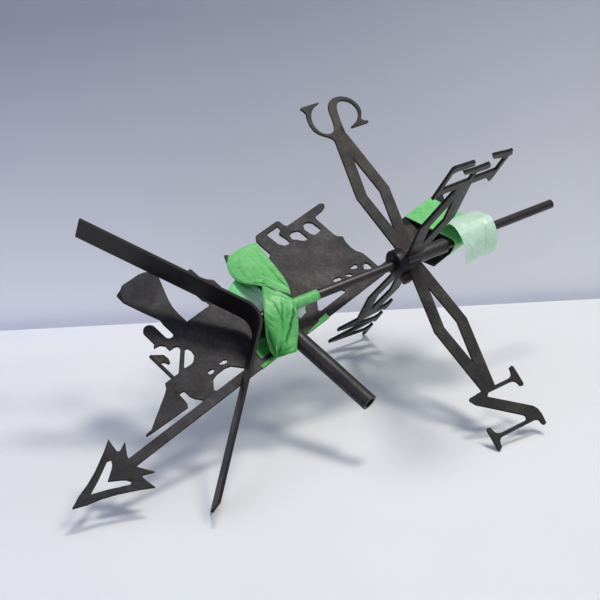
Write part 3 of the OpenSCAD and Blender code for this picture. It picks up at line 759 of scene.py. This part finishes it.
@dataclass
class FinWrap(TapeStrip):
    """A tight turn of tape round the tail fin and the mast.

    Args:
        start: where it starts along the arrow, in millimetres.
        width: width of the tape.
        fin: half-width and half-thickness of the fin.
        mast: height and depth of the mast's middle on the plate, at the turn's start and end.
        parts: corners round the turn.
    """

    start: float = 119.0
    width: float = 48.0
    fin: tuple[float, float] = (36.3, HALF_PLATE)
    mast: tuple[tuple[float, float], tuple[float, float]] = ((33.52, -19.07), (45.85, -16.79))
    parts: int = 96

    def ring(self, u: float) -> list[Vector]:
        """List the corners of the turn at a share of its width."""
        key = round(u, 5)
        if key not in RINGS:
            rod = Vector(self.mast[0]).lerp(Vector(self.mast[1]), u)
            ring = []
            for k in range(self.parts + 1):
                # Turned by a hair, so that no direction lies square to the fin
                angle = 2 * math.pi * k / self.parts + 0.01
                way = Vector((math.cos(angle), math.sin(angle)))
                round_rod = rod + way * (MAST_R + STAND_OFF)
                corner = Vector((math.copysign(self.fin[0], way.x), math.copysign(self.fin[1], way.y)))
                corner += way * STAND_OFF
                ring.append(round_rod if round_rod.dot(way) > corner.dot(way) else corner)
            RINGS[key] = ring
        return RINGS[key]

    def place(self, u: float, v: float) -> Vector:
        """Find a place on the turn."""
        ring = self.ring(u)
        steps = [(b - a).length for a, b in zip(ring, ring[1:])]
        left = v * sum(steps)
        for a, b, step in zip(ring, ring[1:], steps):
            if left <= step or b is ring[-1]:
                here = a.lerp(b, min(left / max(step, 1e-9), 1.0))
                return Vector((self.start + self.width * u, here.x, here.y))
            left -= step
        return Vector((self.start + self.width * u, ring[0].x, ring[0].y))


# ---- dressed parts


def dress(node: str, material: Material, edge_mm: float = 0.0) -> None:
    """Give a carried-over node its finish, and round its cut edges a little.

    Args:
        node: the node's name.
        material: its finish.
        edge_mm: width of the rounding; none at zero.
    """
    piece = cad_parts[node]
    piece.data.materials.clear()
    piece.data.materials.append(material)
    if edge_mm > 0:
        joined = piece.modifiers.new("joined", "WELD")
        joined.merge_threshold = 0.01 * MM
        rounded = piece.modifiers.new("rounded", "BEVEL")
        rounded.width = edge_mm * MM
        rounded.segments = 2
        rounded.limit_method = "ANGLE"
        rounded.angle_limit = math.radians(35)
        rounded.harden_normals = False
    log.info("dressed %s in %s", node, material.name)


class Letter(Enum):
    """The four arms, each with the direction straight through its plate."""

    north = ("arm_north", HUB.x)
    south = ("arm_south", HUB.x)
    east = ("arm_east", HUB.y)
    west = ("arm_west", HUB.y)


@dataclass
class RoofMount:
    """The bracket, the mast and the bead at its foot.

    Args:
        edge_mm: width of the rounding on the bracket's edges.
    """

    edge_mm: float = 0.5

    def build(self) -> None:
        """Dress the bracket and the mast."""
        bracket = DarkSteel("Hot-rolled strip steel, black oxide", "#0b0a0b", "#171416", "#261b17",
                            rough=(0.6, 0.48), metallic=0.1, mirror=0.2, sheared=(HUB.x, "#1b1617"))
        rod = DarkSteel("Drawn round bar, dark oxide", "#171516", "#302d2b", "#3a2c1f",
                        rust_amount=0.35, rough=(0.4, 0.25), metallic=0.4, mirror=0.75)
        dress("roof_bracket", bracket.material(), self.edge_mm)
        dress("mast_rod", rod.material())
        bead = DarkSteel("Weld bead, dark oxide", "#2a2725", "#4c4741", "#4f3a2a",
                         rust_amount=0.4, rough=(0.55, 0.4), grain_mm=1.2).material()
        for node in ("foot_weld_bead", "arm_welds", "tube_welds"):
            dress(node, bead)


@dataclass
class Directionals:
    """The hub with its four letter arms.

    Args:
        edge_mm: width of the rounding on the cut edges.
        smoke_mm: how far from the hub's middle the arms are smoked.
    """

    edge_mm: float = 0.35
    smoke_mm: float = 50.0

    def build(self) -> None:
        """Dress the hub and the arms."""
        collar = DarkSteel("Turned collar, blue-black oxide", "#131218", "#252329", "#33221e",
                           rust_amount=0.35, rough=(0.42, 0.3))
        sleeve = DarkSteel("Drawn tube, dark oxide", "#1a1818", "#363331", "#3a2c1f",
                           rough=(0.36, 0.24), metallic=0.4, mirror=0.9)
        screw = DarkSteel("Forged screw, red-brown oxide", "#150d0b", "#2f1a15", "#43221a",
                          rust_amount=0.5, rough=(0.6, 0.45), metallic=0.3)
        dress("hub_collar", collar.material(), edge_mm=0.4)
        dress("hub_sleeve", sleeve.material())
        dress("set_screw", screw.material(), edge_mm=0.7)
        weld = tuple(HUB.at((0, 0, 0)))
        for letter in Letter:
            node, face = letter.value
            plate = MillScalePlate(f"Plasma-cut mill-scale plate, {letter.name} arm", face,
                                   soot=(weld, self.smoke_mm * MM))
            dress(node, plate.material(), self.edge_mm)


@dataclass
class Vane:
    """The locomotive on its arrow, with its pivot tube.

    Args:
        edge_mm: width of the rounding on the cut edges.
    """

    edge_mm: float = 0.35

    def build(self) -> None:
        """Dress the plate and the tube."""
        plate = MillScalePlate("Plasma-cut mill-scale plate, locomotive", VANE.z,
                               ("#151517", "#222225", "#353538"), rust_amount=0.4)
        tube = DarkSteel("Seamless tube, dark oxide", "#212121", "#3b3a3a", "#3c342c",
                         rust_amount=0.4, rough=(0.5, 0.38), metallic=0.4)
        dress("vane_plate", plate.material(), self.edge_mm)
        drawn = tube.material()
        dress("pivot_tube", drawn)
        dress("pivot_cap", drawn)


GREEN = CrepeTape("Green masking tape, creped paper", "#4ba85a", "#6fc672", "#98dc98")
# The twisted band's tones are pale for its sticky side and lighter still as painted light, since the lamps
# reach it little
TWISTED_LIT = CrepeTape("Green masking tape, twisted with its sticky side out", "#b0dcb6", "#d2efd5", "#f0faf0",
                    deep="#7cf094", through=0.45, rough=0.4)
# The inner side's dark green is partly its own tone and partly painted shade
STICKY_SHADE = CrepeTape("Masking tape, its sticky side in shade", "#067026", "#109237", "#2cb04e",
                   through=0.2, rough=0.7)
PALE = CrepeTape("Green masking tape, one layer with light through it", "#9fd3ab", "#b8e0be", "#e0f5e2",
                 through=0.5, rough=0.3, wax=0.8)


def shifted(rows: list[list[Point]], by: float) -> list[list[Point]]:
    """Move rows of points along their third axis, which is the mast or leads through the plate.

    Args:
        rows: the rows.
        by: how far.

    Returns:
        The moved rows.
    """
    return [[(p[0], p[1], p[2] + by) for p in row] for row in rows]


@dataclass
class Lashing:
    """The tape that holds the vane to the mast and the bracket.

    Args:
        over: radius of the tape over the mast.
        off: distance of the tape from the plate's middle.
    """

    over: float = MAST_R + STAND_OFF
    off: float = HALF_PLATE + STAND_OFF

    def strips(self) -> list[tuple[TapeStrip, str]]:
        """List the strips, each with the solid that it stands for."""
        over, off = self.over, self.off
        front = shifted([
            [(-3, -34, 26), (3, -27, 32), (6, -16, 40), (over + 0.4, -3.4, 46.5)],
            [(over, -13, 14), (over + 2, -5, 21), (over + 3, 3, 33), (over + 3, 10, 43.5)],
            [(over + 1, 6, 5.5), (over, 12, 14), (over - 1, 17, 27), (over - 2, 21, 41)],
            [(-7, 21, 4), (-1, 30, 8), (0, 35, 20), (1, 37, 33)],
            [(-19, 40, 6), (-13, 46, 7), (1, 51, 12), (2, 52, 23)]], CROWN)
        upper = shifted([
            [(-86, -130, 0), (-73, -129, -0.5), (-60, -127, -0.5), (-47.5, -123.5, 0)],
            [(-98.5, -118.5, -1), (-82, -111, -4), (-67, -106, -4), (-52.5, -102, -1)],
            [(-105, -103, -3), (-92, -93.5, -9), (-74, -87.5, -9), (-58, -78, -4)],
            [(-107, -84.5, -12), (-100.5, -72.5, -20), (-87, -62.5, -22), (-69.5, -52, -14)],
            [(-104.5, -62, -29), (-102, -53, -33), (-97, -42, -33), (-87, -30, -29)]], -off)
        band = shifted([
            [(-121, -93, 0), (-110, -98, 0), (-97, -101, 0)],
            [(-123.5, -77.5, -2), (-111, -79, -3), (-95, -82, -5)],
            [(-124, -59, -4), (-112, -60, -7), (-101, -61, -18)],
            [(-129, -40, -5), (-121, -39.5, -15), (-115, -43, -24)]], -off)
        back = shifted([
            [(-47.5, -123.5, 0), (-66, -129, 0), (-84, -131, 0), (-92, -124.5, 0)],
            [(-64, -80, 0), (-78, -84, 0), (-94, -87, 0), (-108.5, -82, 0)],
            [(-80, -38, 0), (-94, -40, 0), (-110, -42, 0), (-125, -38, 0)],
            [(-96, 5.2, 0), (-110, 5.2, 0), (-126, 5.2, 0), (-141.5, 5.2, 0)]], off)
        under = [[(x, y, z) for x in (-162, -142, -124)]
                 for y, z in ((2.2, -off), (5.8, -off), (5.8, off), (2.2, off))]
        left = shifted([
            [(-150, -20.3, 0), (-144.6, -22.4, 0), (-133.2, -21.8, 0)],
            [(-154, -11, 0), (-146, -12, 0), (-133.5, -12, 0)],
            [(-154.8, -3.2, 0), (-148, -3.2, 0), (-139, -3.2, 0)]], -off)
        right = shifted([
            [(-70, 1.4, 0), (-64, 1, 0), (-57.4, 0.4, 0)],
            [(-72.6, 3.6, 0), (-65, 3, 0), (-57.5, 2.6, 0)],
            [(-88, 5.2, 0), (-73, 4.8, 0), (-57.5, 4.4, 0)],
            [(-90.8, 5.8, 0), (-75, 5.8, 0), (-57.6, 5.8, 0)]], -off)
        right += [[(-90.8, 5.8, off), (-75, 5.8, off), (-57.6, 5.8, off)]]
        corner = shifted([
            [(-1.5, 6.5, 49.5), (-1.5, 6.5, 55), (-1.5, 6.5, 61)],
            [(-5, 7.5, 50), (-5.5, 8, 55), (-5, 7, 60.5)],
            [(-9, 10.5, 50.5), (-9.5, 11, 55), (-8, 9, 60.5)],
            [(-12, 14, 51.5), (-12, 13.5, 55), (-10, 11, 60.8)]], CROWN)
        front_folds = creases(
            # The fold down the right side, paler on its edge and darker beside it, partly painted highlight
            # and painted shade
            (0.99, 0.0, 0.86, 0.34, -2.2, 1.8), (0.87, 0.26, 0.81, 0.53, -2.4, 1.9),
            (0.82, 0.47, 0.74, 0.67, -2.2, 1.9), (0.75, 0.62, 0.62, 0.82, -1.6, 1.9),
            (0.94, 0.15, 0.97, 0.8, 1.5, 1.6), (0.83, 0.1, 0.79, 0.45, 0.9, 1.6),
            # The end of one more layer, square to it
            (0.95, 0.08, 0.57, 0.19, 1.0, 3.0, 1), (0.58, 0.16, 0.55, 0.64, -1.5, 1.4),
            (0.63, 0.2, 0.59, 0.6, 0.9, 1.5), (0.74, 0.17, 0.7, 0.5, -1.0, 1.6),
            # Wrinkles over the mast
            (0.26, 0.19, 0.48, 0.24, 1.0, 1.6), (0.44, 0.22, 0.57, 0.4, 1.0, 1.5),
            (0.37, 0.22, 0.52, 0.4, -1.1, 1.5), (0.03, 0.38, 0.44, 0.46, 0.8, 2.2),
            (0.04, 0.45, 0.4, 0.52, -0.8, 1.8), (0.05, 0.53, 0.38, 0.6, -0.7, 2.0),
            # The twist's pocket at the top, dark mostly with painted shade, and the bright ridge below it
            # with a painted highlight
            (0.08, 0.005, 0.42, 0.03, -8.0, 1.8), (0.38, 0.03, 0.93, 0.005, -9.0, 2.4),
            (0.3, 0.045, 0.86, 0.03, -5.0, 1.8), (0.3, 0.115, 0.97, 0.09, 1.7, 1.5),
            # The fan that runs together at the lower tip
            (0.15, 0.64, 0.31, 0.99, -2.0, 1.7), (0.02, 0.58, 0.23, 0.98, 1.5, 1.7),
            (0.0, 0.72, 0.27, 0.99, 1.3, 1.4), (0.43, 0.68, 0.33, 0.99, 1.3, 1.6),
            (0.54, 0.78, 0.36, 0.99, -1.6, 1.6), (0.68, 0.64, 0.49, 0.86, 1.2, 1.6),
            (0.48, 0.92, 0.95, 0.86, -0.9, 2.4))
        upper_folds = creases(
            # The twist: its upper lip, the pocket under the lip, dark mostly with painted shade, and the
            # curled corner left of it
            (0.44, 0.62, 0.72, 0.81, 2.2, 2.0), (0.69, 0.79, 1.0, 0.91, 2.0, 2.0),
            (0.45, 0.79, 0.5, 0.91, -9.0, 2.2), (0.48, 0.9, 0.8, 0.985, -12.0, 2.8),
            (0.76, 0.965, 1.0, 1.0, -12.0, 2.6), (0.0, 0.83, 0.52, 0.75, -4.0, 2.6),
            (0.0, 0.86, 0.2, 0.95, 1.4, 2.0), (0.17, 0.94, 0.52, 0.99, 1.4, 2.0),
            (0.86, 0.72, 1.0, 0.9, -1.2, 2.0),
            # Wrinkles that run into the twist, and the end of one more layer
            (0.12, 0.08, 0.5, 0.2, 0.9, 1.8, 1), (0.47, 0.16, 0.57, 0.5, 0.9, 4.0),
            (0.2, 0.2, 0.28, 0.68, -0.6, 3.2), (0.8, 0.05, 0.78, 0.4, -0.5, 2.6),
            (0.77, 0.36, 0.72, 0.76, 0.8, 3.0), (0.79, 0.49, 0.9, 0.85, -1.1, 3.0),
            (0.64, 0.33, 0.6, 0.72, -0.7, 2.4), (0.1, 0.31, 0.12, 0.72, 0.4, 2.4))
        band_folds = creases(
            (0.71, 0.1, 0.88, 0.8, -1.0, 2.6), (0.28, 0.13, 0.6, 0.67, 0.7, 2.4),
            (0.39, 0.44, 0.76, 0.88, -0.6, 2.0), (0.32, 0.62, 0.42, 0.99, 0.8, 1.8))
        return [
            (TapeStrip("lashing_front", HUB, front, front_folds, crumple=0.35, puff=1.1, cells=(96, 110),
                       seed=3.0, layers=(0.1, 1.0)), "tape_front"),
            (TapeStrip("lashing_upper", VANE, upper, upper_folds, crumple=0.4, puff=1.0, ragged=(3.0, 0.0),
                       cells=(96, 120), seed=11.0, layers=(0.0, 0.3)), "tape_upper"),
            (TapeStrip("lashing_edge", VANE, band, band_folds, crumple=0.3, puff=0.5, cells=(44, 80),
                       seed=17.0, layers=(1.0, 0.0)), "tape_band"),
            (TapeStrip("lashing_back", VANE, back, crumple=0.3, cells=(40, 90), seed=23.0), "tape_back"),
            (TapeStrip("lashing_under_shaft", VANE, under, crumple=0.2, cells=(48, 18), seed=29.0,
                       layers=(0.8, 0.8)), "tape_shaft_wrap"),
            (TapeStrip("torn_end_left", VANE, left, creases((0.1, 0.3, 0.9, 0.7, 0.5, 2.0)),
                       crumple=0.25, cells=(36, 32), seed=31.0, layers=(1.0, 1.0)), "tape_left_end"),
            (TapeStrip("torn_end_right", VANE, right, crumple=0.25, cells=(60, 30), seed=37.0,
                       layers=(0.6, 0.6)), "tape_right_end"),
            (TapeStrip("mast_turn_corner", HUB, corner, creases((0.1, 0.55, 0.9, 0.6, 0.6, 2.0)),
                       crumple=0.2, cells=(30, 30), seed=53.0), "tape_mast_wrap"),
            (RodWrap("mast_turn", HUB, creases=creases((0.1, 0.4, 0.9, 0.45, 0.4, 2.0)), crumple=0.2,
                     cells=(44, 56), seed=41.0, closed=True, layers=(0.3, 0.3), start=CROWN + 39),
             "tape_mast_wrap"),
        ]

    def build(self, green: Material, pale: Material) -> None:
        """Build the strips of the lashing.

        Args:
            green: the tape's finish.
            pale: its finish where light comes through; on the loose corner under the mast's turn it is
                partly painted light in that turn's shade.
        """
        # The loose corner takes the pale finish: partly its own thin tape, partly painted light in the
        # shade under the mast's turn
        special = {"lashing_edge": TWISTED_LIT.material(), "mast_turn_corner": pale}
        for strip, solid in self.strips():
            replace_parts(strip.build(special.get(strip.name, green)), solid)


@dataclass
class TailTape:
    """The turn of tape round the fin and the mast, with its loose end.

    Args:
        base: where the loose end starts along the mast, in millimetres.
        width: width of the tape.
    """

    base: float = 58.0
    width: float = 48.0

    def build(self, green: Material, pale: Material, sticky: Material) -> None:
        """Build the turn and the loose end.

        Args:
            green: finish of the tape on a backing.
            pale: finish of one layer with light through it.
            sticky: finish of its inner side, dark partly with painted shade.
        """
        turn = FinWrap("fin_turn", VANE, crumple=0.12, seed=43.0, closed=True, cells=(40, 190))
        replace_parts(turn.build(green), "tape_tail_wrap")
        low, mid, top = self.base, self.base + self.width / 2, self.base + self.width
        rows = [
            [(-6.3, -25.5, low), (-5.1, -25.5, mid), (-4.3, -25.5, top)],
            [(8, -24, low), (9, -24, mid), (9, -23, top)],
            [(19.5, -15, low), (20, -14.5, mid), (20, -13, top)],
            [(25, -5, low), (26.5, -4, mid), (28.5, -4, top)],
            [(24.5, 8, low), (25.5, 9, mid), (25.5, 12, top)],
            [(18.5, 21, low), (18, 20, mid), (13.5, 24, top)],
            [(3, 33, low), (0, 29, mid), (-4, 29, top)]]
        folds = creases(
            (0.05, 0.6, 0.4, 0.98, 0.6, 4.0), (0.7, 0.55, 0.62, 0.95, -0.6, 4.0))
        flap = TapeStrip("loose_end", HUB, rows, folds, crumple=0.22, thick=0.2, ragged=(0.0, 3.0),
                         cells=(64, 110), seed=47.0, notches=((0.5, 0.05, 6.0),), slot="tape_pale",
                         rests_on=("fin_turn",))
        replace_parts(flap.build(pale, sticky), "tape_tail_flap")


# ---- studio


@dataclass
class Studio:
    """The table, the backdrop, the light and the camera.

    Args:
        edge_y: where the table ends and the backdrop rises, in metres.
        edge_turn: turn of that line, in degrees.
        half_width: half the width of both.
        table_reach: half the table's depth.
        cloth_reach: half the backdrop's height.
        cloth_middle: height of its middle.
        aim: where the lamps point.
    """

    edge_y: float = 0.307
    edge_turn: float = 3.4
    half_width: float = 3.0
    table_reach: float = 1.4
    cloth_reach: float = 1.6
    cloth_middle: float = 0.6
    aim: Point = (0.0, 0.0, 0.12)

    def surfaces(self) -> None:
        """Build the table top and the backdrop behind it, with their line slightly askew."""
        turn = Matrix.Rotation(math.radians(self.edge_turn), 3, "Z")
        table = bmesh.new()
        bmesh.ops.create_grid(table, x_segments=2, y_segments=2, size=1.0)
        bmesh.ops.scale(table, verts=table.verts, vec=(self.half_width, self.table_reach, 1.0))
        bmesh.ops.translate(table, verts=table.verts, vec=(0.0, -self.table_reach, 0.0))
        bmesh.ops.rotate(table, verts=table.verts, matrix=turn)
        # A fifth of a millimetre under the feet, so that no two faces share a place
        bmesh.ops.translate(table, verts=table.verts, vec=(0.0, self.edge_y, -0.2 * MM))
        # Its tone changes in the last nine centimetres before the backdrop and from left to right: painted
        # light and shade
        white = PaintedLightPlain("Table top, matt white sheet", ("#f0f4f4", "#eceef4"), ("#dfe4e3", "#e1e5e4"), 1,
                      (self.edge_y - 0.09, self.edge_y - 0.01)).material()
        floor = finish_mesh(table, "table_top", white)
        cloth = bmesh.new()
        bmesh.ops.create_grid(cloth, x_segments=2, y_segments=2, size=1.0)
        bmesh.ops.rotate(cloth, verts=cloth.verts, matrix=Matrix.Rotation(math.radians(90), 3, "X"))
        bmesh.ops.scale(cloth, verts=cloth.verts, vec=(self.half_width, 1.0, self.cloth_reach))
        bmesh.ops.rotate(cloth, verts=cloth.verts, matrix=turn)
        # Hung two centimetres behind the table's edge
        bmesh.ops.translate(cloth, verts=cloth.verts, vec=(0.0, self.edge_y + 0.02, self.cloth_middle))
        # Painted light and shade: the cloth is light at its foot and darker towards the top, most on the
        # left
        lilac = PaintedLightPlain("Backdrop, lilac-grey cotton", ("#f4f6fb", "#979aaa"), ("#ecefee", "#b0b4ba"), 2,
                      (-0.02, 0.42), open_back=True).material()
        backdrop = finish_mesh(cloth, "backdrop_cloth", lilac)

    def lights(self) -> None:
        """Place a soft lamp overhead, one on the right, a weak one in front, and a pale world."""
        lamps = (
            ("key", (0.4, 0.06, 1.9), 0.42, 15.0, "#fff8ee"),
            ("second", (0.85, -0.55, 1.7), 0.45, 9.5, "#fff6ea"),
            ("fill", (-1.4, -1.6, 1.2), 1.6, 4.5, "#e8ecff"))
        for name, place, size, power, tint in lamps:
            lamp = bpy.data.lights.new(name, "AREA")
            lamp.shape = "DISK"
            lamp.color = linear(tint)[:3]
            lamp.size = size
            lamp.energy = power
            holder = bpy.data.objects.new(name, lamp)
            holder.location = place
            way = Vector(self.aim) - Vector(place)
            holder.rotation_euler = way.to_track_quat("-Z", "Y").to_euler()
            bpy.context.scene.collection.objects.link(holder)
        world = bpy.data.worlds.new("studio")
        world.use_nodes = True
        back = next(n for n in world.node_tree.nodes if n.type == "BACKGROUND")
        back.inputs["Color"].default_value = linear("#d6dafa")
        back.inputs["Strength"].default_value = 0.56
        bpy.context.scene.world = world

    def camera(self) -> None:
        """Stand the camera where the photographer stood."""
        lens = bpy.data.cameras.new("camera")
        lens.sensor_width = 36.0
        lens.lens = 72.0
        lens.clip_start = 0.05
        holder = bpy.data.objects.new("camera", lens)
        # From a fit to the corners of the four arms and the line of the mast
        right = (0.999463, -0.000367, -0.032718)
        up = (0.030363, 0.382570, 0.923423)
        back = (0.012174, -0.923922, 0.382376)
        turn = Matrix((right, up, back)).transposed().to_4x4()
        holder.matrix_world = Matrix.Translation((-0.018833, -1.245680, 0.663920)) @ turn
        bpy.context.scene.collection.objects.link(holder)
        bpy.context.scene.camera = holder

    def build(self) -> None:
        """Build the whole studio."""
        self.surfaces()
        self.lights()
        self.camera()
        bpy.context.scene.view_settings.view_transform = "Standard"
        log.info("studio stands")


def main() -> None:
    """Build the studio, the three parts and the tape in order."""
    logging.basicConfig(level=logging.INFO, format="%(message)s")
    Studio().build()
    RoofMount().build()
    Directionals().build()
    Vane().build()
    green = GREEN.material()
    pale = PALE.material()
    Lashing().build(green, pale)
    TailTape().build(green, pale, STICKY_SHADE.material())


if __name__ == "__main__":
    main()
